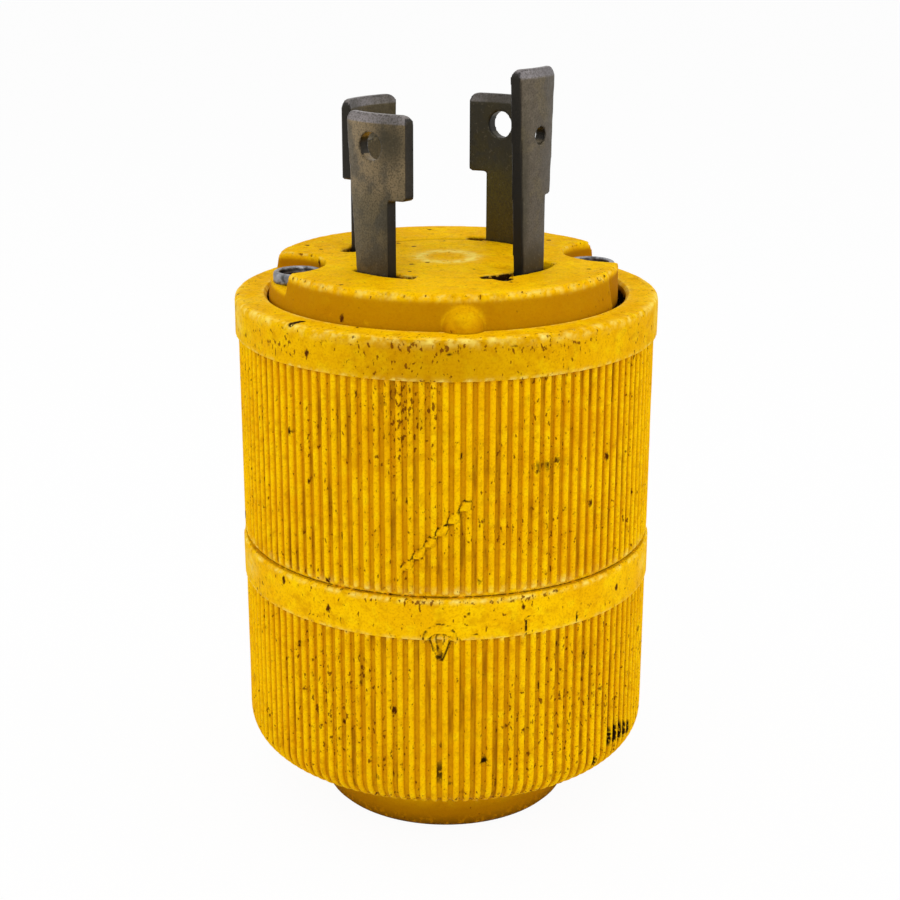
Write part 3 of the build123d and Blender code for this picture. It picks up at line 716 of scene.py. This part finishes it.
def carve_rear(turn, radius, height, groove):
    """Worn radii of the rear shell, with the alignment mark and the drop, and its marks."""
    points = at_points(turn, radius, height)
    chips = ragged(points, *SHELL_RAGGED)
    outside = radius > REAR_SKIN_R
    low = (height < floor_z) & (radius > grommet_r + NECK_WALL)
    # The pale worn edge at the seam is also a painted highlight
    edges = ((band_r, seam_band_z, EDGE_NARROW), (band_r, seam_z - SEAM_GAP, SEAM_EDGE_WEAR_AND_HIGHLIGHT))
    worn = worn_edges(radius, height, edges, chips)
    sideways = RIB_R * np.radians(turn_between(turn, MARK_ANGLE))
    from_mark = np.hypot(sideways, height - seam_band_z - BAND_EDGE)
    on_band = outside & (height > seam_band_z + BAND_EDGE / 2) & (height < seam_z)
    change = MARK_RISE * on_band * ramp(from_mark, MARK_R + MARK_EDGE / 2, MARK_R - MARK_EDGE / 2)
    inside, lines = scraped_drop(sideways, height)
    change += inside * (band_r - DROP_DEPTH * (1 + DROP_SWING * chips) - radius - change)
    change -= worn_depth(points, groove, worn)
    outline = on_band * bell(from_mark - MARK_R - MARK_LINE_OUT, MARK_LINE_W)
    outline *= np.clip(MARK_LINE_LEVEL + chips, 0, 1)
    # Painted shade along the seam gap
    seam = SEAM_SHADE_REAR * (radius > SPIGOT_R + SEAM_GAP) * bell(height - seam_z, SEAM_SHADE_W)
    # Painted shade in the groove ends under the band's overhang
    under_band = GROOVE_END_SHADE * groove * bell(height - seam_band_z, GROOVE_END_SHADE_H)
    dirt = np.maximum.reduce([spots(REAR_SPOTS, turn, height), MARK_LINE_DIRT * outline,
                              DROP_DIRT * lines, seam, under_band])
    # Painted shade, darker towards the neck's foot
    foot = FOOT_SHADE * low * ramp(height, NECK_H / 2, 0)
    soil = REAR_SOIL_LEVEL + SOIL_SWING * ripple(points, SOIL_SIZE) + spots(REAR_SOIL, turn, height)
    neck_top = NECK_H - NECK_CHAMFER
    neck = low * np.minimum(ramp(height, neck_top, neck_top - NECK_SHADE_H), NECK_SHADE)
    marks = {"dirt": np.maximum(outside * dirt, foot),
             "soil": (outside | (low & (height > NECK_H))) * soil,
             # Pale for wear, and rubbing with painted sheen at the band's ends
             "pale": outside * np.maximum(worn, spots(REAR_RUBBED_AND_SHEEN, turn, height)),
             "shade": np.maximum(neck, INNER_SHADE * ~(outside | low))}
    return radius + outside * change, marks


def stand_for(obj, node):
    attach(obj, "root")
    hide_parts(node)
    return obj


def front_shell():
    obj = skin("front_shell_ribbed", front_stations(), carve_front)
    smooth(obj, SHELL_SHARP)
    return stand_for(obj, "front_shell")


def rear_shell():
    obj = skin("rear_shell_ribbed", rear_stations(), carve_rear)
    for angle in POST_ANGLES:
        post = round_outline(POST_R, POST_PITCH_R, angle)
        pocket = round_outline(INSERT_R, POST_PITCH_R, angle)
        cut(obj, prism(post, floor_z - POST_SINK, spigot_z), "UNION")
        cut(obj, prism(web_outline(angle), floor_z, spigot_z), "UNION")
        cut(obj, prism(pocket, insert_low_z, spigot_z + 1), "DIFFERENCE")
    smooth(obj, SHELL_SHARP)
    return stand_for(obj, "rear_shell")


def evened(node, name, voxel):
    """Copy of a node's solid on an even mesh, with its sharp edges rounded off."""
    obj = place(name, nodes[node].data.copy())
    mesh = bmesh.new()
    mesh.from_mesh(obj.data)
    bmesh.ops.remove_doubles(mesh, verts=mesh.verts, dist=0.001 * MM)
    mesh.to_mesh(obj.data)
    mesh.free()
    even = obj.modifiers.new("even", "REMESH")
    even.mode = "VOXEL"
    even.voxel_size = voxel * MM
    rounding = obj.modifiers.new("rounding", "SMOOTH")
    rounding.factor = 0.5
    rounding.iterations = 1
    return apply_modifiers(obj)


def vertex_table(mesh):
    """Places in millimetres and normals of all vertices."""
    places = np.zeros(len(mesh.vertices) * 3)
    mesh.vertices.foreach_get("co", places)
    normals = np.zeros(len(mesh.vertices) * 3)
    mesh.vertex_normals.foreach_get("vector", normals)
    return places.reshape(-1, 3) / MM, normals.reshape(-1, 3)


def dent_share(x, y):
    """1 in the middle of the dent beside the ground blade."""
    c, s = math.cos(math.radians(DENT_ANGLE)), math.sin(math.radians(DENT_ANGLE))
    along = (x - DENT_AT[0]) * c + (y - DENT_AT[1]) * s
    across = (y - DENT_AT[1]) * c - (x - DENT_AT[0]) * s
    return bell(np.hypot(along / DENT_LENGTH, across / DENT_WIDTH), 1)


def boss_shade(x, y, normals, radius):
    """Which vertices are on the boss, and its shade, which is least where it faces out and up."""
    near_boss = np.hypot(x - boss_x, y - boss_y) < BOSS_R + BOSS_MARGIN
    on_boss = near_boss & (radius > BOSS_PITCH_R + BOSS_OUT)
    outward = (normals[:, 0] * boss_x + normals[:, 1] * boss_y) / BOSS_PITCH_R
    lit = BOSS_LIT_OUT * outward + BOSS_LIT_UP * normals[:, 2]
    return on_boss, BOSS_SHADE * on_boss * np.clip(BOSS_SHADE_LEVEL - lit, 0, 1)


def blade_face():
    """The face with its dent, arc line, worn edges and ring, and painted shade in its slots, on its walls
    and on its boss.
    """
    obj = evened("blade_face", "blade_face_worn", FACE_VOXEL)
    places, normals = vertex_table(obj.data)
    radius = np.hypot(places[:, 0], places[:, 1])
    turn = np.degrees(np.arctan2(places[:, 1], places[:, 0]))
    up = np.abs(normals[:, 2])
    chips = ragged(places, *FACE_RAGGED)
    top = ramp(places[:, 2], face_z - TOP_LAYER[0], face_z - TOP_LAYER[1])
    edge = top * np.clip(4 * up * (1 - up), 0, 1)
    dent = top * dent_share(places[:, 0], places[:, 1])
    line = top * bell(radius - ARC_R, ARC_W) * ((turn > ARC_START) & (turn < ARC_END))
    rough = top * ripple(places, ROUGH_SIZE)
    chipped = edge * np.clip(FACE_EDGE_WEAR + FACE_EDGE_SWING * chips, 0, FACE_EDGE_MOST)
    places -= normals * chipped[:, None]
    places[:, 2] -= DENT_DEPTH * dent + ARC_DEPTH * line + ROUGH_DEPTH * rough
    obj.data.vertices.foreach_set("co", (places * MM).ravel())

    x, y, z = places.T
    ring = top * bell(radius - RING_R, RING_W)
    worn = np.maximum(edge * np.clip(FACE_EDGE_PALE + chips, 0, 1),
                      ring * np.clip(RING_PALE + RING_SWING * chips, 0, 1))
    on_boss, ball = boss_shade(x, y, normals, radius)
    # Painted shade on the upright walls and the boss
    wall = (1 - top) * np.clip(1 - up, 0, 1) * ~on_boss
    from_notch = np.minimum.reduce([np.abs(turn_between(turn, angle)) for angle in POST_ANGLES])
    in_slot = (radius < SLOT_R) & (from_notch > NOTCH_TURN) & (dent < TRACE) & (line < TRACE)
    # Painted shade down in the slots, black by the ground blade
    slot = in_slot * ramp(z, face_z - SLOT_DEPTHS[0], face_z - SLOT_DEPTHS[1])
    near_ground = np.abs(turn_between(turn, BLADE_ANGLES["blade_ground"])) < SLOT_BLACK_TURN
    # Painted shade low on the wall, in the gap under the rim
    low = ramp(z, rim_z - LOW_WALL_DEPTHS[0], rim_z - LOW_WALL_DEPTHS[1]) * (radius > BOSS_PITCH_R - 1)
    soil = FACE_SOIL + FACE_SOIL_EDGE * edge + FACE_SOIL_SWING * ripple(places, FACE_SOIL_SIZE)
    mark(obj.data, groove=np.zeros(radius.shape), pale=worn, soil=soil - FACE_SOIL * wall,
         dirt=np.maximum(slot * np.where(near_ground, 1, SLOT_BROWN), LOW_WALL_SHADE * low),
         shade=np.maximum.reduce([wall, ball, slot, DENT_SHADE * dent, ARC_SHADE * line]))
    smooth(obj, FACE_SHARP)
    return stand_for(obj, "blade_face")


def blade(node):
    """A stamped blade. Marks its narrow sides and the lines along their edges, which get painted shade,
    its dark blots of tarnish and painted shade, and the bevelled tip for the material.
    """
    obj = evened(node, node + "_rounded", BLADE_VOXEL)
    places, normals = vertex_table(obj.data)
    x, y, height = places.T
    radius = np.hypot(x, y)
    facing = np.abs((x * normals[:, 0] + y * normals[:, 1]) / radius)
    upright = np.abs(normals[:, 2]) < UPRIGHT_MOST
    top = height.max()
    bevel = ramp(normals[:, 2], *BEVEL_UP) * ramp(height, top - TIP_DEPTHS[0], top - TIP_DEPTHS[1])
    turn = np.degrees(np.arctan2(y, x))
    across = radius * np.radians(turn_between(turn, BLADE_ANGLES[node]))
    # The narrow sides and the lines along their edges get painted shade
    mark(obj.data, side=upright * ramp(facing, *SIDE_FACING), tip=bevel,
         dark=blots(BLADE_DARK[node], across, height),
         edge=EDGE_DARK * upright * bell(facing - EDGE_FACING, EDGE_FACING_W))
    smooth(obj, BLADE_SHARP)
    return stand_for(obj, node)


def assembly_screw(node):
    """A cup-headed screw. Marks the hollow of its head, which gets painted shade."""
    obj = evened(node, node + "_rounded", SCREW_VOXEL)
    places, _ = vertex_table(obj.data)
    middle = (places.min(axis=0) + places.max(axis=0)) / 2
    from_axis = np.hypot(places[:, 0] - middle[0], places[:, 1] - middle[1])
    in_cup = (from_axis < SCREW_CUP_R) & (places[:, 2] > places[:, 2].max() - SCREW_CUP_DEPTH)
    inward = ramp(from_axis, SCREW_CUP_R + SCREW_CUP_EDGE, SCREW_CUP_R - SCREW_CUP_EDGE)
    # The hollow gets painted shade
    mark(obj.data, dirt=in_cup * inward)
    smooth(obj, SCREW_SHARP)
    return stand_for(obj, node)


def new_material(name):
    material = bpy.data.materials.new(name)
    material.use_nodes = True
    tree = material.node_tree
    return material, tree, tree.nodes["Principled BSDF"]


def add(tree, kind, settings=None, **inputs):
    """Node with its settings and inputs, each a value or another node's output."""
    node = tree.nodes.new("ShaderNode" + kind)
    for name, value in (settings or {}).items():
        setattr(node, name, value)
    for name, value in inputs.items():
        feed(tree, node.inputs[name.replace("_", " ")], value)
    return node


def feed(tree, socket, value):
    if isinstance(value, bpy.types.NodeSocket):
        tree.links.new(value, socket)
    else:
        socket.default_value = value


def in_mm(tree, stretch=(1, 1, 1)):
    """Coordinates on the object in millimetres, stretched for streaks."""
    place_of = add(tree, "TexCoord").outputs["Object"]
    scale = tuple(1 / (MM * s) for s in stretch)
    return add(tree, "Mapping", Vector=place_of, Scale=scale).outputs["Vector"]


def cloud(tree, coords, size, detail=3.0):
    """Noise of a size in millimetres."""
    return add(tree, "TexNoise", Vector=coords, Scale=1 / size, Detail=detail).outputs["Fac"]


def rise(tree, value, low, high, top=1.0):
    """Soft step from 0 to a top value."""
    step = add(tree, "MapRange", {"interpolation_type": "SMOOTHSTEP"}, Value=value, From_Min=low,
               From_Max=high, To_Max=top)
    return step.outputs["Result"]


def patches(tree, coords, size, detail, low, high, top=1.0):
    """Patches of a size in millimetres, which grow to a top value between two levels of the noise."""
    return rise(tree, cloud(tree, coords, size, detail), low, high, top)


def combine(tree, operation, a, b):
    node = add(tree, "Math", {"operation": operation})
    feed(tree, node.inputs[0], a)
    feed(tree, node.inputs[1], b)
    return node.outputs[0]


def times(tree, a, b):
    return combine(tree, "MULTIPLY", a, b)


def plus(tree, a, b):
    return combine(tree, "ADD", a, b)


def value_of(tree, name):
    return add(tree, "Attribute", {"attribute_name": name}).outputs["Fac"]


def blend(tree, share, below, above):
    """Colour that goes from one to another by a share."""
    node = add(tree, "Mix", {"data_type": "RGBA"})
    feed(tree, node.inputs[0], share)
    for socket, colour in ((node.inputs[6], below), (node.inputs[7], above)):
        feed(tree, socket, colour if isinstance(colour, bpy.types.NodeSocket) else (*colour, 1))
    return node.outputs[2]


def specks(tree, coords, size, radius, share):
    """Scattered specks up to a radius, one in the given share of cells of a size."""
    wobble = add(tree, "TexNoise", Vector=coords, Scale=1.5 / radius)
    swing = add(tree, "VectorMath", {"operation": "SCALE"}, Scale=1.2 * radius)
    feed(tree, swing.inputs[0], wobble.outputs["Color"])
    shifted = add(tree, "VectorMath", {"operation": "ADD"})
    feed(tree, shifted.inputs[0], coords)
    feed(tree, shifted.inputs[1], swing.outputs[0])
    cells = add(tree, "TexVoronoi", Vector=shifted.outputs[0], Scale=1 / size)
    number = add(tree, "SeparateColor", Color=cells.outputs["Color"]).outputs["Red"]
    reach = times(tree, rise(tree, number, 1 - share, 1.0), radius / size)
    inside = combine(tree, "SUBTRACT", reach, cells.outputs["Distance"])
    return rise(tree, inside, 0.0, 0.5 * radius / size)


def bump(tree, shader, height, depth, strength):
    node = add(tree, "Bump", Height=height, Strength=strength, Distance=depth * MM)
    tree.links.new(node.outputs["Normal"], shader.inputs["Normal"])


def roughness(tree, shader, grain, limits, span=NOISE_SPAN):
    """Roughness between two limits by a noise."""
    node = add(tree, "MapRange", Value=grain, From_Min=span[0], From_Max=span[1], To_Min=limits[0],
               To_Max=limits[1])
    tree.links.new(node.outputs["Result"], shader.inputs["Roughness"])


def worn_plastic(name):
    """Yellow moulded nylon: amber in the grooves from soil and painted shade, painted shade on walls and
    in hollows, pale where it is worn, with a painted highlight at the seam and painted sheen at the
    bands' ends, and specks of soil all over.
    """
    material, tree, shader = new_material(name)
    coords = in_mm(tree)
    flecks = in_mm(tree, (1, 1, 1.7))
    streaks = in_mm(tree, (1, 1, 8))
    groove = value_of(tree, "groove")
    soil = value_of(tree, "soil")
    # Uneven yellow with amber stains
    colour = blend(tree, patches(tree, coords, 9.0, 3.0, 0.35, 0.65), YELLOW, YELLOW_DEEP)
    colour = blend(tree, patches(tree, coords, 1.9, 8.0, 0.5, 0.68, 0.6), colour, YELLOW_WORN)
    stain = plus(tree, cloud(tree, coords, 1.3, 12.0), times(tree, soil, 0.12))
    colour = blend(tree, rise(tree, stain, 0.52, 0.76, 0.4), colour, AMBER)
    colour = blend(tree, patches(tree, coords, 0.3, 6.0, 0.45, 0.7, 0.4), colour, AMBER)
    # Amber in the grooves for dirt and painted shade; amber for painted shade and the rim band's stain;
    # pale for rubbed edges, with a painted highlight at the seam and painted sheen at the bands' ends
    colour = blend(tree, rise(tree, groove, 0.15, 1.0, 0.6), colour, AMBER)
    # Painted shade, and the rim band's stain, darken to amber
    shade = times(tree, value_of(tree, "shade"), patches(tree, coords, 1.6, 10.0, -0.1, 0.38))
    colour = blend(tree, shade, colour, AMBER_SHADE_AND_STAIN)
    pale = times(tree, value_of(tree, "pale"), patches(tree, coords, 0.8, 5.0, 0.3, 0.55))
    colour = blend(tree, pale, colour, PALE)
    # Runs in the grooves, flecks, specks, and dirt with painted shade
    run = times(tree, patches(tree, streaks, 1.2, 4.0, 0.52, 0.68, 0.5), rise(tree, groove, 0.3, 0.9))
    colour = blend(tree, run, colour, SOIL)
    fleck = plus(tree, cloud(tree, flecks, 0.45, 4.0), times(tree, soil, 0.16))
    fleck = rise(tree, fleck, 0.69, 0.77, 0.85)
    colour = blend(tree, fleck, colour, SOIL)
    colour = blend(tree, specks(tree, flecks, 2.1, 0.46, 0.4), colour, SPECK)
    # Dirt and painted shade darken to near black
    dirt = times(tree, value_of(tree, "dirt"), patches(tree, coords, 0.6, 4.0, 0.25, 0.5))
    colour = blend(tree, rise(tree, dirt, 0.15, 0.65), colour, DIRT_AND_SHADE_TONE)
    tree.links.new(colour, shader.inputs["Base Color"])
    roughness(tree, shader, cloud(tree, coords, 1.7, 5.0), PLASTIC_ROUGH)
    shader.inputs["Specular IOR Level"].default_value = PLASTIC_GLOSS
    relief = plus(tree, times(tree, cloud(tree, coords, 0.45), 0.6), times(tree, fleck, -0.8))
    bump(tree, shader, relief, 0.12, 0.8)
    return material


def metal(name, tones, size, bare):
    """Dull metal of two tones with dark blotches and bare edges, black where painted shade is marked in
    the hollows of the screws' heads.
    """
    material, tree, shader = new_material(name)
    light, middle, dark = tones
    coords = in_mm(tree)
    colour = blend(tree, patches(tree, coords, size, 5.0, 0.38, 0.62), light, middle)
    colour = blend(tree, patches(tree, coords, size * 1.7, 6.0, 0.52, 0.66, 0.85), colour, dark)
    sharp = rise(tree, add(tree, "NewGeometry").outputs["Pointiness"], 0.52, 0.58, 0.7)
    colour = blend(tree, times(tree, sharp, patches(tree, coords, 0.9, 3.0, 0.4, 0.6)), colour, bare)
    # Painted shade in the screws' hollows
    colour = blend(tree, value_of(tree, "dirt"), colour, DIRT_AND_SHADE_TONE)
    tree.links.new(colour, shader.inputs["Base Color"])
    shader.inputs["Metallic"].default_value = 1.0
    roughness(tree, shader, cloud(tree, coords, 0.9, 5.0), METAL_ROUGH)
    bump(tree, shader, cloud(tree, coords, 0.5), 0.05, 0.3)
    return material


def tarnished_brass(name, upper, lower, blotch):
    """Tarnished blade: one tone above the hook and one below, blotches, faint painted glints, sides and
    edge lines painted black as shade, and a bright tip.
    """
    material, tree, shader = new_material(name)
    coords = in_mm(tree)
    streaks = in_mm(tree, (1, 1, 4))
    height = add(tree, "SeparateXYZ", Vector=coords).outputs["Z"]
    wave = times(tree, cloud(tree, coords, 3.0, 4.0), 8.0)
    colour = blend(tree, rise(tree, plus(tree, height, wave), HOOK_Z + 2, HOOK_Z + 8), lower, upper)
    colour = blend(tree, patches(tree, coords, 3.5, 5.0, 0.5, 0.62, 0.6), colour, blotch)
    colour = blend(tree, times(tree, value_of(tree, "tip"), 0.85), colour, BRASS_TIP)
    colour = blend(tree, value_of(tree, "dark"), colour, BRASS_DARK)
    colour = blend(tree, patches(tree, coords, 0.22, 5.0, 0.4, 0.66, 0.6), colour, BRASS_DARK)
    # Faint light specks: painted glints
    colour = blend(tree, patches(tree, coords, 0.4, 3.0, 0.6, 0.72, 0.15), colour, BRASS_GLINT)
    # Painted shade on the narrow sides and along their edges
    colour = blend(tree, times(tree, value_of(tree, "side"), 0.9), colour, BRASS_SIDE_SHADE)
    colour = blend(tree, value_of(tree, "edge"), colour, BRASS_EDGE_SHADE)
    tree.links.new(colour, shader.inputs["Base Color"])
    shader.inputs["Metallic"].default_value = BLADE_METALLIC
    roughness(tree, shader, cloud(tree, coords, 0.8, 5.0), BLADE_ROUGH)
    bump(tree, shader, cloud(tree, streaks, 0.45, 4.0), 0.05, 0.4)
    return material


def moulded(name, tones, size, limits):
    """Dark moulded plastic or rubber with a fine grain and dust."""
    material, tree, shader = new_material(name)
    coords = in_mm(tree)
    colour = blend(tree, patches(tree, coords, size, 5.0, 0.4, 0.65), *tones)
    tree.links.new(colour, shader.inputs["Base Color"])
    roughness(tree, shader, cloud(tree, coords, size / 2), limits, (0.0, 1.0))
    bump(tree, shader, cloud(tree, coords, 0.3), 0.06, 0.3)
    return material


def dress(obj, material):
    obj.data.materials.clear()
    obj.data.materials.append(material)


def dress_inner_pieces():
    """Blades and assembly screws get finer skins, and the other pieces keep their solids."""
    zinc = metal("zinc", ZINC_TONES, 0.8, ZINC_BARE)
    finishes = {"base_plastic": moulded("phenolic", PHENOLIC_TONES, 1.5, PHENOLIC_ROUGH),
                "grommet_rubber": moulded("rubber", RUBBER_TONES, 0.8, RUBBER_ROUGH),
                "terminal_brass": metal("dull_brass", TERMINAL_TONES, 2.0, TERMINAL_BARE),
                "screw_steel": zinc}
    for subpart in frame["record"]["subparts"]:
        name, slot = subpart["node"], subpart["material_slot"]
        if slot == "blade_brass":
            dress(blade(name), tarnished_brass(name, *BLADE_TONES[name]))
        elif name.startswith("assembly_screw"):
            dress(assembly_screw(name), zinc)
        elif slot in finishes:
            dress(nodes[name], finishes[slot])


def camera():
    data = bpy.data.cameras.new("camera")
    data.lens = LENS_MM
    data.clip_start, data.clip_end = CLIP_M
    obj = bpy.data.objects.new("camera", data)
    bpy.context.scene.collection.objects.link(obj)
    obj.location = Vector(CAMERA_MM) * MM
    tilt = Matrix.Rotation(math.radians(90 - CAMERA_PITCH), 3, "X")
    obj.rotation_euler = (tilt @ Matrix.Rotation(math.radians(CAMERA_ROLL), 3, "Z")).to_euler()
    bpy.context.scene.camera = obj


def area_light(name, location, size, radiance):
    data = bpy.data.lights.new(name, "AREA")
    data.shape = "RECTANGLE"
    data.size, data.size_y = size
    data.energy = radiance * math.pi * size[0] * size[1]
    obj = bpy.data.objects.new(name, data)
    bpy.context.scene.collection.objects.link(obj)
    obj.location = location
    obj.rotation_euler = (Vector(LIGHTS_AIM) - Vector(location)).to_track_quat("-Z", "Y").to_euler()


def seen_share(tree):
    """1 for what the camera sees, directly or in a mirror or glass, and 0 for light on the object."""
    path = add(tree, "LightPath").outputs
    mirror = combine(tree, "MAXIMUM", path["Is Camera Ray"], path["Is Glossy Ray"])
    return combine(tree, "MAXIMUM", mirror, path["Is Transmission Ray"])


def white_floor():
    """White floor that shows a faint shadow of the object."""
    material, tree, shader = new_material("floor")
    shader.inputs["Base Color"].default_value = FLOOR_GREY
    shader.inputs["Roughness"].default_value = FLOOR_ROUGH
    shader.inputs["Specular IOR Level"].default_value = 0.0
    white = add(tree, "Emission", Color=WHITE, Strength=1.0)
    both = add(tree, "MixShader")
    feed(tree, both.inputs[0], times(tree, seen_share(tree), FLOOR_WHITE))
    tree.links.new(shader.outputs[0], both.inputs[1])
    tree.links.new(white.outputs[0], both.inputs[2])
    tree.links.new(both.outputs[0], tree.nodes["Material Output"].inputs["Surface"])
    return material


def studio():
    scene = bpy.context.scene
    scene.view_settings.view_transform = "Standard"
    world = bpy.data.worlds.new("studio")
    scene.world = world
    world.use_nodes = True
    tree = world.node_tree
    background = tree.nodes["Background"]
    background.inputs["Color"].default_value = WHITE
    strength = add(tree, "MapRange", Value=seen_share(tree), To_Min=WORLD_LIGHT, To_Max=1.0)
    tree.links.new(strength.outputs["Result"], background.inputs["Strength"])
    for name, settings in LIGHTS.items():
        area_light(name, *settings)
    bpy.ops.mesh.primitive_plane_add(size=FLOOR_SIZE)
    floor = bpy.context.object
    floor.name = "floor"
    dress(floor, white_floor())


shell_yellow = worn_plastic("shell_yellow")
dress(front_shell(), shell_yellow)
dress(rear_shell(), shell_yellow)
dress(blade_face(), worn_plastic("face_yellow"))
dress_inner_pieces()
studio()
camera()
